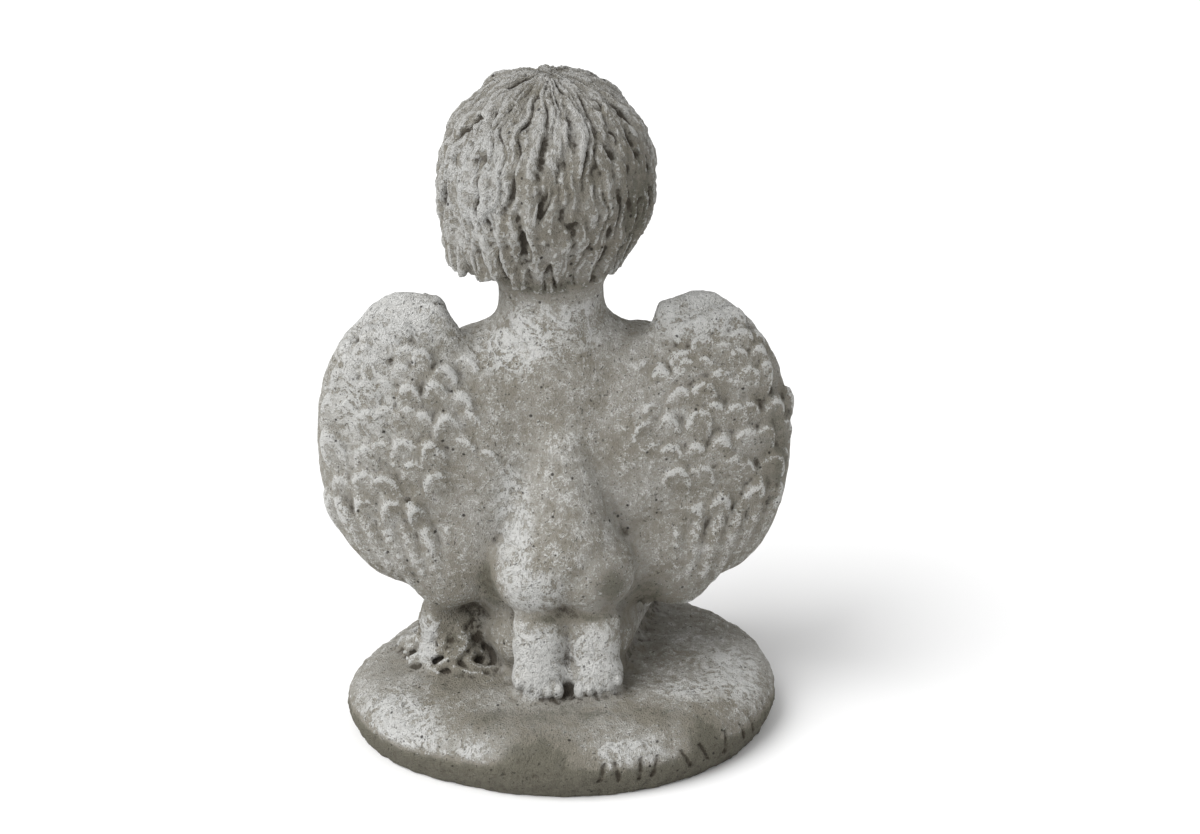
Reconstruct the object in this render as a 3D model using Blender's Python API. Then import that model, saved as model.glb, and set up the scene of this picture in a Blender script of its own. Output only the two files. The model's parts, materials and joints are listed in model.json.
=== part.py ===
"""Praying cherub angel of cast concrete, kneeling on a low rounded base, all one casting.

Axes: +Z up, the face looks along -Y, the origin is on the underside, in the middle of the base.
The casting is built as a sculptor builds a clay model: overlapping balls and limbs are melted
into one skin, the finer shapes are laid on it and melted in, and it is cut flat underneath.
"""

import math
import random

import bmesh
import bpy
from mathutils import Matrix, Vector

# The base, and the height of the figure that kneels on it.
BASE_WIDTH = 0.1225
BASE_DEPTH = 0.106
BASE_HEIGHT = 0.017
FIGURE_HEIGHT = 0.165

# Where the plan of the base falls short of an oval: heading and spread in degrees, share of the radius.
WORN_RIM = ((-30, 24, 0.10), (60, 15, 0.02), (115, 25, -0.01))

# Melting: voxels, and rounds of smoothing, for the broad forms, the seat and feet, and the rest.
CORE_VOXEL = 0.0016
CORE_ROUNDS = 12
LIMB_VOXEL = 0.0011
LIMB_ROUNDS = 4
SKIN_VOXEL = 0.0011
SKIN_ROUNDS = CORE_ROUNDS // 6
SKIN_TRIANGLES = 9400
CUT_DEPTH = 0.003

# The figure is drawn on a grid of 165 steps to its height, from the top of the base.
GRID = FIGURE_HEIGHT / 165
SIDES = (1, -1)

WING_FACE = (23.0, 7.2, 40.0)
WING_LIFT = 1.5
SKULL = (28.0, 28.4, 28.2)
WHORL = (-0.06, 0.24, 0.97)
LOCKS = 24
COVERT_TIPS = (32, 26, 19, 11.5, 3, -6, -15.5, -28)
ROOT_CLUMP = (29, -5, 6)


def placed(at, x=0.0, y=0.0, z=0.0):
    """Moved to a place, after turns in degrees about X, then Y, then Z."""
    matrix = Matrix.Translation(at)
    for angle, axis in ((z, "Z"), (y, "Y"), (x, "X")):
        matrix = matrix @ Matrix.Rotation(math.radians(angle), 4, axis)
    return matrix


FIGURE = Matrix.Translation((0, 0, BASE_HEIGHT)) @ Matrix.Scale(GRID, 4)
HEAD = FIGURE @ placed((2.9, -9, 136), x=10, y=2.5)


def side_frame(side):
    """The figure's frame, mirrored for its right half."""
    return FIGURE @ Matrix.Diagonal((side, 1, 1, 1))


def wing_frame(side):
    """The middle of a wing: x runs outwards, y out of its feathered face, z to its top."""
    place, roll = ((43.2, 1, 64.5), 0) if side > 0 else ((41.3, 1, 63.5), -4.5)
    return side_frame(side) @ placed(place, y=roll, z=-12)


def ball(clay, frame, centre, radii, x=0.0, y=0.0, z=0.0, detail=4):
    matrix = frame @ placed(centre, x, y, z) @ Matrix.Diagonal((*radii, 1))
    bmesh.ops.create_icosphere(clay, subdivisions=detail, radius=1, matrix=matrix)


def limb(clay, frame, start, end, start_radius, end_radius, detail=3):
    """A tapering round bar with round ends."""
    start, end = Vector(start), Vector(end)
    along = end - start
    aim = along.to_track_quat("Z", "Y").to_matrix().to_4x4()
    bmesh.ops.create_cone(
        clay, cap_ends=True, cap_tris=True, segments=24,
        radius1=start_radius, radius2=end_radius, depth=along.length,
        matrix=frame @ Matrix.Translation((start + end) / 2) @ aim,
    )
    ball(clay, frame, start, (start_radius,) * 3, detail=detail)
    ball(clay, frame, end, (end_radius,) * 3, detail=detail)


def cords(clay, frame, routes):
    """Round rolls of clay: each route is a list of (point, radius)."""
    curve = bpy.data.curves.new("rolls", "CURVE")
    curve.dimensions = "3D"
    curve.bevel_depth = 1
    curve.bevel_resolution = 2
    curve.use_fill_caps = True
    for route in routes:
        roll = curve.splines.new("POLY")
        roll.points.add(len(route) - 1)
        for point, (place, radius) in zip(roll.points, route):
            point.co = (*place, 1)
            point.radius = radius
    rolls = bpy.data.objects.new("rolls", curve)
    bpy.context.scene.collection.objects.link(rolls)
    graph = bpy.context.evaluated_depsgraph_get()
    mesh = bpy.data.meshes.new_from_object(rolls.evaluated_get(graph))
    mesh.transform(frame)
    clay.from_mesh(mesh)
    bpy.data.objects.remove(rolls)
    bpy.data.curves.remove(curve)
    bpy.data.meshes.remove(mesh)


def melt(clay, voxel, rounds):
    """All the closed shapes in clay as one skin."""
    mesh = bpy.data.meshes.new("clay")
    clay.to_mesh(mesh)
    clay.free()
    lump = bpy.data.objects.new("clay", mesh)
    bpy.context.scene.collection.objects.link(lump)
    skin = lump.modifiers.new("skin", "REMESH")
    skin.mode = "VOXEL"
    skin.voxel_size = voxel
    worn = lump.modifiers.new("worn", "SMOOTH")
    worn.iterations = rounds
    graph = bpy.context.evaluated_depsgraph_get()
    made = bmesh.new()
    made.from_mesh(lump.evaluated_get(graph).data)
    bpy.data.objects.remove(lump)
    bpy.data.meshes.remove(mesh)
    return made


def base(clay):
    """A pebble with a domed top and a rounded rim, a little narrower underneath, and worn in places."""
    profile = (
        (0.0, 1.0), (0.60, 1.0), (0.80, 0.95), (0.92, 0.84), (0.985, 0.62),
        (1.0, 0.38), (0.985, 0.15), (0.95, 0.0), (0.94, -CUT_DEPTH / BASE_HEIGHT), (0.0, -CUT_DEPTH / BASE_HEIGHT),
    )
    points = [clay.verts.new((out * BASE_WIDTH / 2, 0, up * BASE_HEIGHT)) for out, up in profile]
    edges = [clay.edges.new(pair) for pair in zip(points, points[1:])]
    bmesh.ops.spin(
        clay, geom=points + edges, cent=(0, 0, 0), axis=(0, 0, 1), angle=math.tau, steps=64, use_merge=True,
    )
    bmesh.ops.remove_doubles(clay, verts=clay.verts[:], dist=1e-6)
    for corner in clay.verts:
        heading = math.degrees(math.atan2(corner.co.y, corner.co.x))
        worn = sum(depth * math.exp(-((heading - at) / spread) ** 2) for at, spread, depth in WORN_RIM)
        corner.co.xy *= 1 - worn
    bmesh.ops.scale(clay, vec=(1, BASE_DEPTH / BASE_WIDTH, 1), verts=clay.verts[:])


def block(clay, frame, centre, half, x=0.0, y=0.0, z=0.0):
    """A square block, which melting rounds off."""
    matrix = frame @ placed(centre, x, y, z) @ Matrix.Diagonal((*half, 1))
    bmesh.ops.create_cube(clay, size=2, matrix=matrix)


def torso(clay):
    ball(clay, FIGURE, (1, -3, 81), (22, 14.5, 25))
    ball(clay, FIGURE, (0, -6, 56), (21, 17, 24))
    ball(clay, FIGURE, (0, -2, 41), (20, 14.5, 19))
    ball(clay, FIGURE, (0, 2, 55), (19, 11.5, 37))
    ball(clay, FIGURE, (0, -16, 48), (17, 12, 15))
    ball(clay, FIGURE, (0, -15, 20), (12.5, 12, 16))
    limb(clay, FIGURE, (1.5, -4, 92), (2.5, -6, 116), 15, 13.8)
    for side in SIDES:
        frame = side_frame(side)
        shoulder = 88 if side > 0 else 84.5
        limb(clay, frame, (3, -3, 96), (23, -4, shoulder), 9, 8)


def head(clay):
    ball(clay, HEAD, (0, 0, 0), [radius - 0.4 for radius in SKULL])
    ball(clay, HEAD, (0, -8.5, -8.5), (21.5, 19.5, 20))
    ball(clay, HEAD, (0, 4, -15), (19, 17, 18))
    ball(clay, HEAD, (19.5, 3, -14), (6, 13, 11), y=-4)
    ball(clay, HEAD, (-18, 3, -12), (6.5, 13, 9), y=4)


def arms(clay, side):
    frame = side_frame(side)
    elbow = (28, -23, 59)
    limb(clay, frame, (22, -6, 87), elbow, 9.5, 8)
    limb(clay, frame, elbow, (6.5, -38, 77), 8, 5.2)
    ball(clay, frame, (20, -8, 68), (10, 10, 22))


def legs(clay, side):
    frame = side_frame(side)
    knee = (25, -36, 11)
    limb(clay, frame, (11, -2, 29), knee, 17, 12.5)
    limb(clay, frame, knee, (11, 10, 9), 10, 8)
    ball(clay, frame, (4, 10, 11), (9, 12, 12))
    ball(clay, frame, (10, -22, 8), (13, 14, 10))


def wing(clay, side):
    frame = wing_frame(side)
    ball(clay, frame, (0, -2.5, -0.5), (24.8, 5.5, 41.5))
    ball(clay, frame, (-2, -2.5, 8), (21, 5.5, 36.5))
    ball(clay, frame, (-0.5, 1, -2), (22.5, 6.5, 38.5))
    block(clay, frame, (-6.5, -1.5, 34 if side > 0 else 33), (7.5, 3.4, 8), y=14)
    ball(clay, frame, (-14, 2, -30), (13.5, 5.5, 18), y=-16)
    ball(clay, side_frame(side), (19, 3.5, 61), (16, 8.5, 33))


def root_clump(clay):
    ball(clay, FIGURE, ROOT_CLUMP, (11, 11, 14))
    ball(clay, FIGURE, (35, 1, 10), (4.5, 4.5, 11))


def broad_forms():
    """The base and the figure's masses, then the seat and feet, with softer joins."""
    clay = bmesh.new()
    base(clay)
    torso(clay)
    head(clay)
    for side in SIDES:
        arms(clay, side)
        legs(clay, side)
        wing(clay, side)
    root_clump(clay)
    clay = melt(clay, CORE_VOXEL, CORE_ROUNDS)
    hips(clay)
    for side in SIDES:
        foot(clay, side)
    return melt(clay, LIMB_VOXEL, LIMB_ROUNDS)


def on_skull(direction, lift):
    """The place over the skull in this direction, that far outside its surface."""
    size = math.sqrt(sum((d / r) ** 2 for d, r in zip(direction, SKULL)))
    return direction / size + direction * lift


def hem(around):
    """Where a lock leaves the skull, in degrees from its top, and the share of a full drop below that."""
    front = max(0.0, -math.sin(math.radians(around)))
    side = math.cos(math.radians(around))
    leave = 124 - 52 * front ** 3 - (26 if side > 0 else 9) * side ** 2 * (1 - front)
    return leave, max(0.0, 1 - 2.2 * front ** 3)


def lock_route(around, start, radius, wave, phase, cut, sunk=0.55):
    """A wavy lock from the whorl to the hem, which is cut short by cut degrees. Start is a share of the
    way, and sunk a share of the radius."""
    down, drop = hem(around)
    turn = math.radians(around)
    polar = math.radians(down - cut)
    end = Vector((math.sin(polar) * math.cos(turn), math.sin(polar) * math.sin(turn), math.cos(polar)))
    whorl = Vector(WHORL).normalized()
    route = []
    for step in range(31):
        t = start + (1 - start) * step / 30
        out = whorl.slerp(end, min(t, 0.999))
        sideways = out.cross(end - whorl).normalized()
        spread = min(1, t / 0.25)
        sway = wave * spread * (math.sin(phase + 8 * t) + 0.6 * math.sin(2.3 * phase + 27 * t))
        out = (out + sideways * sway).normalized()
        thick = radius * min(1.0, 0.3 + 0.7 * t / 0.3) * (1 + 0.16 * math.sin(3 * phase + 19 * t))
        place = on_skull(out, 0.45 * math.sin(2 * phase + 15 * t) - thick * sunk)
        route.append((place, thick))
    if drop > 0.1:
        # Below the skull the hair narrows to the nape, and hangs nearly straight at the sides.
        last = route[-1][0]
        side = math.cos(turn)
        least = 14.8 + (10.6 if side > 0 else 2.4) * side ** 2
        heading = math.atan2(last.y, last.x)
        rise = (4 if side > 0 else 2) * side ** 2
        low = Vector((least * math.cos(heading), least * math.sin(heading), rise - 27.0))
        for step in range(1, 6):
            place = last.lerp(low, (drop - 0.02 * cut) * step / 5)
            route.append((place, radius * (1 - 0.022 * step ** 2)))
    return route


def hair(clay):
    draw = random.Random(5)
    routes = []
    for i in range(LOCKS):
        around = 360 * i / LOCKS + draw.uniform(-3, 3)
        main = lock_route(around, 0.03, draw.uniform(2.2, 2.8), draw.uniform(0.02, 0.05),
                          draw.uniform(0, 6), draw.uniform(-4, 5), sunk=0.42)
        routes.append(main)
        routes.append(lining(main))
        between = around + 180 / LOCKS + draw.uniform(-2, 2)
        routes.append(lock_route(between, draw.uniform(0.12, 0.3), draw.uniform(2.0, 2.8),
                                 draw.uniform(0.02, 0.05), draw.uniform(0, 6), draw.uniform(-3, 10)))
    cords(clay, HEAD, routes)


def lining(lock):
    """A fatter roll behind a lock, which fills the hair below the skull."""
    return [(Vector((place.x * 0.84, place.y * 0.84, place.z + 0.8)), 4.4) for place, _ in lock[18:]]


def on_wing(x, z):
    """Height of the feathered face at a place on the wing."""
    width, thick, tall = WING_FACE
    inside = max(0.02, 1 - (max(x, -16) / width) ** 2 - (z / tall) ** 2)
    return WING_LIFT + thick * math.sqrt(inside)


def feather(clay, frame, x, z, width, length, lift, lean):
    """A tile-like feather on the wing's face, its tip, at (x, z), raised, and leaning inwards by lean degrees."""
    fall = math.degrees(math.atan(on_wing(x, z - 0.5) - on_wing(x, z + 0.5)))
    tilt = math.degrees(math.atan(on_wing(x + 0.5, z) - on_wing(x - 0.5, z)))
    fall, tilt = (max(-22, min(22, angle)) for angle in (fall, tilt))
    here = frame @ placed((x, on_wing(x, z) + lift, z), x=fall) @ placed((0, 0, 0), z=tilt, y=lean)
    tile = placed((0, -1.0, length * 0.46), x=-90 - 11) @ Matrix.Diagonal((width * 0.66, length * 0.5, 1, 1))
    bmesh.ops.create_cone(
        clay, cap_ends=True, cap_tris=True, segments=14, radius1=1.08, radius2=0.84, depth=2.3, matrix=here @ tile,
    )


def coverts(clay, frame, draw):
    """Rows of short feathers, each row over the one below, dying away towards the back."""
    width_of_face, _, height_of_face = WING_FACE
    for row, tip in enumerate(COVERT_TIPS):
        outer = width_of_face * math.sqrt(max(0.06, 1 - ((tip + 4) / height_of_face) ** 2)) - 2
        inner = -outer - (4 if abs(tip) < 22 else 0)
        width = 5.0 + 0.25 * row
        length = (COVERT_TIPS[row - 1] - tip if row else 6) * 1.5
        count = max(2, round((outer - inner) / width))
        shift = draw.uniform(0, 1)
        for i in range(count):
            x = inner + (i + shift) * (outer - inner) / count + draw.uniform(-1.0, 1.0)
            z = tip - 3 * (x / width_of_face) ** 2 + draw.uniform(-2.0, 2.0)
            off_centre = (max(x, -16) / width_of_face) ** 2 + (z / height_of_face) ** 2
            if x > outer or off_centre > 0.84:
                continue
            lean = 5 + 14 * max(0, -z / 30) + draw.uniform(-10, 10)
            sunk = 2.4 * max(0, -x / width_of_face - 0.6) + 3.0 * max(0, off_centre - 0.55)
            lift = draw.uniform(-0.3, 0.4) - sunk
            wide, long = draw.uniform(0.85, 1.3), draw.uniform(0.9, 1.15)
            feather(clay, frame, x, z, width * wide, length * long, lift, lean)


def primaries(clay, frame):
    """Long feathers that sweep from the outer edge down and inwards to the tip of the wing."""
    for i in range(7):
        share = i / 6
        start = Vector((-19 + 36 * share, 0, -18 + 6 * share))
        end = Vector((-22 + 26 * share, 0, -47 + 11 * share ** 1.3))
        along = end - start
        lean = math.degrees(math.atan2(-along.x, -along.z))
        middle = (start + end) / 2
        here = frame @ placed((middle.x, on_wing(middle.x * 0.8, middle.z * 0.8) - 0.9, middle.z), y=lean)
        ball(clay, here, (0, 0, 0), (3.3, 2.7, along.length * 0.58), x=-8, detail=3)


def front_feathers(clay, frame):
    """Long plain feathers down the front of the wing."""
    for i in range(8):
        x = -17 + 34 * i / 7
        bulge = math.sqrt(1 - (x / 24.3) ** 2)
        ball(clay, frame, (x, -1.2 - 5.5 * bulge, -1), (2.7, 2.2, 37 * bulge), y=-3, detail=3)


def feathers(clay, side):
    draw = random.Random(11 + side)
    coverts(clay, wing_frame(side), draw)
    primaries(clay, wing_frame(side))
    front_feathers(clay, wing_frame(side))


def face(clay):
    """A calm child's face on plain proportions, the eyes closed."""
    for side in SIDES:
        half = HEAD @ Matrix.Diagonal((side, 1, 1, 1))
        ball(clay, half, (8.5, -19.5, -13), (8.5, 7.6, 8))
        ball(clay, half, (8.4, -24.6, -4.8), (4.4, 2.8, 2.6))
        limb(clay, half, (4, -27.2, 1.2), (12.0, -24.2, 1.0), 1.3, 0.9)
        ball(clay, half, (1.9, -29.4, -10.6), (1.6, 1.9, 1.4))
        ball(clay, half, (1.7, -27.9, -15.9), (2.8, 1.7, 1.1), y=12)
    limb(clay, HEAD, (0, -27.4, -3), (0, -30.6, -9.8), 1.5, 2.0)
    ball(clay, HEAD, (0, -27.3, -18.1), (3.0, 1.8, 1.3))
    ball(clay, HEAD, (0, -21.8, -22.5), (6.2, 5.6, 4.6))


def hand(clay, side):
    frame = side_frame(side) @ placed((2.7, -37.5, 77), x=8) @ Matrix.Scale(1.12, 4)
    ball(clay, frame, (0.2, 0, 5), (2.9, 5.4, 7))
    for across, length in ((-3.6, 15.5), (-1.2, 18.5), (1.2, 19), (3.6, 17.2)):
        limb(clay, frame, (0, across, 8), (0, across * 0.8, length), 1.55, 1.15)
    limb(clay, frame, (0.4, 4, 3), (0, 5.8, 11), 1.9, 1.4)


def hips(clay):
    """The seat, pear-shaped from the waist, with its cleft, over the heels."""
    limb(clay, FIGURE, (0.5, 6.5, 66), (0.3, 9.8, 38), 8.5, 16, detail=4)
    for side in SIDES:
        ball(clay, FIGURE, (0.3 + 6.9 * side, 12.8, 32), (13, 13, 12.5))


def sole_frame(side):
    """A sole stood on its tucked toes: y runs out of it, z up to the heel."""
    return FIGURE @ placed((-0.4 + 7.7 * side, 22.5, 10.5), x=12, y=-2 * side)


def foot(clay, side):
    frame = sole_frame(side)
    ball(clay, frame, (0, -1, 3), (7.3, 5.4, 11))
    ball(clay, frame, (0, -0.2, -5.5), (7.7, 5.2, 7.5))
    ball(clay, frame, (0, -1.5, 8), (7.3, 5.6, 7))
    block(clay, FIGURE, (-0.4, 16.5, 11), (3, 5, 11))


def toes(clay, side):
    for i, (width, height) in enumerate(((1.9, 2.5), (1.5, 2.2), (1.4, 2.1), (1.35, 2.0), (1.3, 1.9))):
        across = side * (-5.0 + 2.65 * i)
        place = (across, 4.4 - 0.08 * i * i, -8.6 + 0.12 * i * i)
        ball(clay, sole_frame(side), place, (width * 0.82, 2.0, height), detail=3)


def roots(clay):
    draw = random.Random(3)
    routes = []
    for i in range(15):
        heading = math.radians(-20 + 160 * i / 14 + draw.uniform(-10, 10))
        reach = draw.uniform(9, 15)
        top = draw.uniform(6, 18)
        route = []
        for step in range(9):
            t = step / 8
            out = 5 + reach * t
            bend = heading + 0.35 * math.sin(6 * t + 2 * i)
            up = top * (1 - t) ** 1.7 + 0.2 + 0.8 * math.sin(9 * t + i) * (1 - t)
            place = (29 + 0.85 * out * math.cos(bend), -5 + out * math.sin(bend), up)
            route.append((place, 3.2 * (1 - 0.72 * t)))
        routes.append(route)
    cords(clay, FIGURE, routes)


def cast():
    clay = broad_forms()
    hair(clay)
    face(clay)
    roots(clay)
    for side in SIDES:
        feathers(clay, side)
        hand(clay, side)
        toes(clay, side)
    return melt(clay, SKIN_VOXEL, SKIN_ROUNDS)


def cut_flat(skin):
    """Cuts the skin at the ground and closes it with a flat underside."""
    sliced = bmesh.ops.bisect_plane(
        skin, geom=skin.verts[:] + skin.edges[:] + skin.faces[:], plane_co=(0, 0, 0), plane_no=(0, 0, 1),
        clear_inner=True, dist=1e-6,
    )
    ring = [e for e in sliced["geom_cut"] if isinstance(e, bmesh.types.BMEdge)]
    bmesh.ops.contextual_create(skin, geom=ring)
    bmesh.ops.triangulate(skin, faces=[f for f in skin.faces if len(f.verts) > 3])


def centred(skin):
    """Moves the casting so that its box is centred on the origin, seen from above."""
    spans = [[corner.co[axis] for corner in skin.verts] for axis in (0, 1)]
    middle = [(max(span) + min(span)) / 2 for span in spans]
    bmesh.ops.translate(skin, vec=(-middle[0], -middle[1], 0), verts=skin.verts[:])


def fewer_triangles(skin, most):
    bmesh.ops.triangulate(skin, faces=skin.faces[:])
    mesh = bpy.data.meshes.new("skin")
    skin.to_mesh(mesh)
    lump = bpy.data.objects.new("skin", mesh)
    bpy.context.scene.collection.objects.link(lump)
    lump.modifiers.new("fewer", "DECIMATE").ratio = min(1.0, most / len(skin.faces))
    skin.free()
    graph = bpy.context.evaluated_depsgraph_get()
    made = bmesh.new()
    made.from_mesh(lump.evaluated_get(graph).data)
    bpy.data.objects.remove(lump)
    bpy.data.meshes.remove(mesh)
    return made


def concrete():
    material = bpy.data.materials.new("concrete")
    material.use_nodes = True
    shader = material.node_tree.nodes["Principled BSDF"]
    shader.inputs["Base Color"].default_value = (0.44, 0.42, 0.37, 1)
    shader.inputs["Roughness"].default_value = 0.9
    return material


def main():
    for old in list(bpy.data.objects):
        bpy.data.objects.remove(old)
    skin = fewer_triangles(cast(), SKIN_TRIANGLES)
    cut_flat(skin)
    centred(skin)
    mesh = bpy.data.meshes.new("angel_statue")
    skin.to_mesh(mesh)
    skin.free()
    mesh.shade_smooth()
    mesh.materials.append(concrete())
    statue = bpy.data.objects.new("angel_statue", mesh)
    bpy.context.scene.collection.objects.link(statue)


main()
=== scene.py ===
"""Looks of the praying cherub angel: a small garden figure of cast concrete, kneeling on a low
rounded base, weathered, with soil in its hollows and pale salts on its ridges.

The casting is modelled as clay: balls and rolls are melted into one skin, finer shapes are laid
on it and melted in, the skin is roughened, and it is cut flat underneath. Lengths in the clay are
in steps of the figure's grid, a 182nd of the statue's height, which is about a millimetre.
"""

import json
import math
import random

import bmesh
import bpy
import numpy as np
from mathutils import Matrix, Vector, noise
from mathutils.bvhtree import BVHTree

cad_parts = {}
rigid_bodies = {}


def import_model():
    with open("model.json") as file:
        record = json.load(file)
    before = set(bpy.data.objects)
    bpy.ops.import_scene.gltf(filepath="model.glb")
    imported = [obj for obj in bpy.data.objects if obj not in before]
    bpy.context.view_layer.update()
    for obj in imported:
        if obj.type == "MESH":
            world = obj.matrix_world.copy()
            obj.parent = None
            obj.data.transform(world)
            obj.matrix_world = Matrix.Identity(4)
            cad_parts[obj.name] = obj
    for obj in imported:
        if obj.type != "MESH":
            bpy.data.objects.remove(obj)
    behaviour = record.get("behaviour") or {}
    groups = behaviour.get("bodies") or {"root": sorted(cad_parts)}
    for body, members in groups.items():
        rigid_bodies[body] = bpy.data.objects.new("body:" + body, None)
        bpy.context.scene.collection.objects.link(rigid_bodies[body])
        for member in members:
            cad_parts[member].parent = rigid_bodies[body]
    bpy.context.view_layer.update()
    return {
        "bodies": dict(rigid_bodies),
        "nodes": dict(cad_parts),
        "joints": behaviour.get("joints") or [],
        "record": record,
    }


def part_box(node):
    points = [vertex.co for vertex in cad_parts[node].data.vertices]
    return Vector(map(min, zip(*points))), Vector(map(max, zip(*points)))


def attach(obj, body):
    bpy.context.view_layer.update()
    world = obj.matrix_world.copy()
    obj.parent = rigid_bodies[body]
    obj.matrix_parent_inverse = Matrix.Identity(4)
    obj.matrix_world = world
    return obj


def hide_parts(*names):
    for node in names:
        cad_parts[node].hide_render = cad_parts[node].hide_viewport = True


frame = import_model()

# The statue's box in the frame, and the grid that its parts are drawn on.
LOW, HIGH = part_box("angel_statue")
GRID_STEPS = 182
STEP = (HIGH.z - LOW.z) / GRID_STEPS

# The base, in steps, and how far it reaches below the ground before it is cut flat.
BASE_HEIGHT = 17
BASE_WIDTH = 122.5
BASE_DEPTH = 106
CUT_DEPTH = 3

# Where the plan of the base falls short of an oval: heading and spread in degrees, share of the radius.
WORN_RIM = ((-30, 24, 0.10), (60, 15, 0.02), (115, 25, -0.01))

# Strokes pressed in the rim: heading in degrees, lean, and length in steps. Then the band of heights that
# they lie in, their middle, their depth, and half their width at the bottom and at the top.
RIM_STROKES = (
    (97, 0.3, 5.5), (101, -0.2, 6.0), (107, 0.1, 6.5), (111, 0.35, 6.0), (120, -0.5, 5.5), (126, -0.5, 5.5),
    (134, 0.2, 6.5), (142, -0.35, 5.5), (147, -0.35, 5.5), (156, 0.0, 6.5), (162, -0.3, 5.5),
)
STROKE_BAND = (2, 13)
STROKE_HEIGHT = 7.5
STROKE_DEPTH = 0.6
STROKE_EDGES = (0.2, 1.1)

# Where soil has stained the casting or shade is painted (above 0), or salts have bleached it or highlight is
# painted (below 0):
# centre and reach in steps of the grid, and strength.
STAIN_AND_LIGHT_MARKS = (
    # The rim of the base.
    ((10, 49, 9), (20, 12, 10), 0.9), ((-37, 40, 9), (9, 12, 10), 0.8), ((45, 30, 12), (14, 18, 6), -0.7),
    ((23, 45, 11), (10, 6, 4), -0.6), ((-13, 48, 12), (12, 6, 3), -0.6), ((-48, 12, 14), (9, 15, 6), -0.7),
    # The top of the base.
    ((0, 34, 16), (26, 10, 4), 0.5), ((30, 18, 18), (12, 10, 4), 0.4), ((-34, 24, 17), (10, 8, 4), -0.3),
    ((22, 36, 16), (10, 7, 4), 0.35), ((-24, 36, 16), (10, 7, 4), 0.35), ((46, 6, 16), (10, 10, 4), 0.35),
    # The roots.
    ((29, -2, 23), (13, 14, 13), 0.8), ((36, 3, 22), (4, 6, 10), -1.3),
    # The hair and the nape. The dark band along the hem of the hair at the nape is painted shade.
    ((-20, 6, 150), (11, 18, 26), 0.6), ((2, 8, 129), (22, 14, 5), 0.6), ((2, 18, 160), (16, 14, 26), 0.25),
    ((22, 10, 156), (16, 22, 22), -0.35), ((0, 20, 172), (16, 16, 12), -0.3), ((3, 8, 120), (12, 10, 5), -0.3),
    # The back and the seat. Painted highlight on the left half of the seat and down its left side;
    # painted shade on its right half, at its left edge by the wing, and in the crease over the heels.
    ((13, 10, 112), (13, 10, 8), -0.8), ((-10, 10, 118), (9, 10, 9), -0.3), ((13, 16, 64), (5, 10, 16), -0.8),
    ((10, 26, 48), (12, 10, 9), -0.35), ((-13, 24, 48), (9, 10, 10), 0.55), ((19, 13, 44), (6, 10, 11), 0.8),
    ((0, 24, 39), (18, 6, 2.2), 0.8),
    # The wings, then painted shade down the outer side of the right wing and in the hollow under it.
    ((42, 0, 121), (16, 12, 10), -0.7), ((-38, 0, 119), (16, 12, 10), -0.6), ((50, 0, 98), (14, 12, 22), -0.4),
    ((-60, 4, 80), (10, 16, 30), 0.45), ((-24, 12, 36), (10, 12, 12), 0.6),
    # The feet: painted highlight on the soles, stronger on the left one.
    ((7, 28, 27), (9, 9, 12), -0.95), ((-9, 28, 27), (9, 9, 12), -0.65),
)

# Height in steps below which the low edge of the base turns darker and browner, over how many steps, and how much.
# This is partly a brown stain and partly painted shade, where little light reaches the low edge from below.
LOW_EDGE_DARK_TOP = 9.5
LOW_EDGE_DARK_FADE = 6
LOW_EDGE_DARK_STRENGTH = 1.5

# Melting: voxels in steps, and rounds of smoothing, for the broad forms, the seat and feet, and the rest.
CORE_VOXEL = 1.6
CORE_ROUNDS = 12
LIMB_VOXEL = 1.1
LIMB_ROUNDS = 4
SKIN_VOXEL = 0.5
SKIN_ROUNDS = 2
SKIN_TRIANGLES = 194000

SIDES = (1, -1)

# The wing's feathered face, as half an oval shell: half its width, its swell, half its height, and how far
# its edge stands out. Then where each row of short feathers ends, and the numbers of long feathers.
WING_FACE = (23.0, 7.2, 40.0)
WING_LIFT = 1.5
COVERT_TIPS = (31, 26, 19, 11.5, 3, -6, -15.5, -28)
PRIMARIES = 7
FRONT_FEATHERS = 8

# The skull's radii, the direction of the whorl, and the numbers of locks, loose strands and points in a lock.
SKULL = (28.0, 28.4, 28.2)
WHORL = (-0.06, 0.24, 0.97)
LOCKS = 24
STRANDS = 14
LOCK_POINTS = 30
LINING_FROM = 18

# The lump of earth by the left foot, and the number of roots on it.
ROOT_CLUMP = (29, -5, 6)
ROOTS = 15

# Rays cast from each point to find how sheltered it is, and their reach in steps. The material paints sheltered
# places darker, as painted shade.
SHELTER_RAYS = 10
SHELTER_REACH = 14

# Colours of the concrete, its salts, which also paint highlights, the soil and moss on it, which also paint shade,
# and its air holes.
PALE = (0.41, 0.395, 0.36, 1)
WARM = (0.28, 0.26, 0.215, 1)
SALT_AND_HIGHLIGHT = (0.70, 0.70, 0.68, 1)
SOIL_AND_SHADE = (0.070, 0.058, 0.043, 1)
MOSS_AND_SHADE = (0.135, 0.130, 0.096, 1)
PINHOLE = (0.035, 0.030, 0.025, 1)

# The floor and the light. The floor lies a hair under the statue. Lengths are in metres, the spread in degrees.
FLOOR_SHADE = (0.93, 0.93, 0.93, 1)
FLOOR_REACH = 60
FLOOR_GAP = 0.0002
SKY_STRENGTH = 0.6
KEY_STRENGTH = 3.1
KEY_SPREAD = 50
KEY_FROM = Vector((0.75, 0.35, 0.85))

# The camera: where it looks from, in degrees and metres, and how far the frame is shifted, in its pixels.
CAMERA_AZIMUTH = 176.0
CAMERA_RISE = 22.0
CAMERA_DISTANCE = 0.65
CAMERA_LENS = 72.0
CAMERA_AIM = Vector((-0.0013, 0.0, 0.087))
FRAME_WIDTH = 1200
FRAME_SHIFT = (38, 4)


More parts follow.
